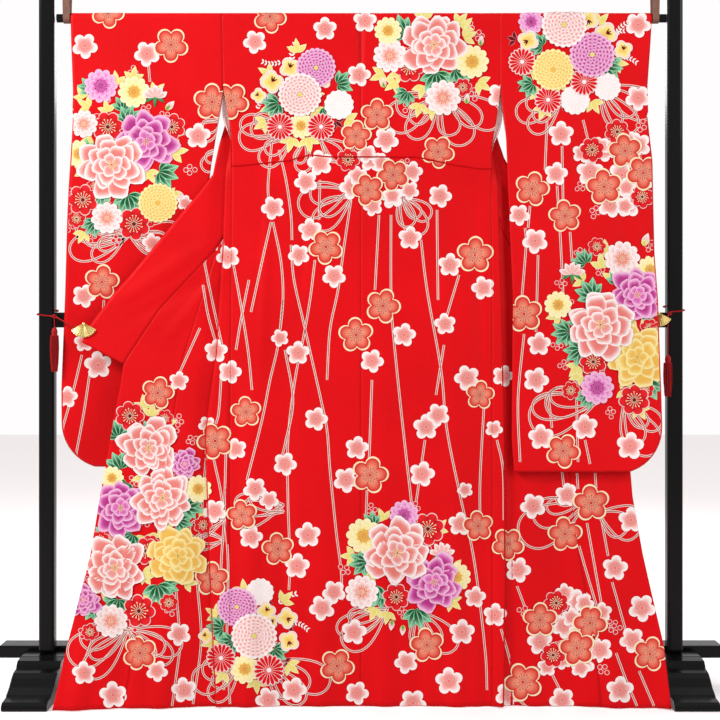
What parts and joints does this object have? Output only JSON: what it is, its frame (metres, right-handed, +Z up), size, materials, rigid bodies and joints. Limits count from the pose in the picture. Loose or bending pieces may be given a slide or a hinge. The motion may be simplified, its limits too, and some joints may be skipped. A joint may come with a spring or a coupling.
{
  "type": "furisode kimono on a kimono stand",
  "caption": "Long-sleeved furisode kimono hung open over the rod of a black lacquered kimono stand, its back to the viewer, front corners held out by small fan clips.",
  "frame": {"origin": "on the floor at the centre of the whole object's box, under the middle of the hanging rod", "axes": "+Z up, +X towards the wearer's right sleeve, -Y towards the viewer of the garment's back"},
  "size_m": [1.75, 0.4392, 1.7726],
  "materials": {
    "silk": "scarlet silk crepe with printed and embroidered flowers, soft sheen",
    "lining": "plain pale pink silk lining",
    "lacquer": "gloss black lacquer",
    "strap": "brown strap, matt",
    "gold": "polished gilt",
    "thread": "dark red silk thread"
  },
  "bodies": {
    "root": {"body_left": "silk", "body_right": "silk", "okumi_left": "silk", "okumi_right": "silk", "sleeve_left": "silk", "sleeve_right": "silk", "collar": "silk", "lining_left": "lining", "lining_right": "lining", "post_left": "lacquer", "post_right": "lacquer", "foot_left": "lacquer", "foot_right": "lacquer", "mid_rail": "lacquer", "top_rail": "lacquer", "low_bar": "lacquer", "rod": "lacquer", "strap_left": "strap", "strap_right": "strap", "clip_left": "gold", "clip_right": "gold", "fan_left": "gold", "fan_right": "gold", "cord_left": "thread", "cord_right": "thread", "tassel_left": "thread", "tassel_right": "thread"}
  },
  "joints": []
}
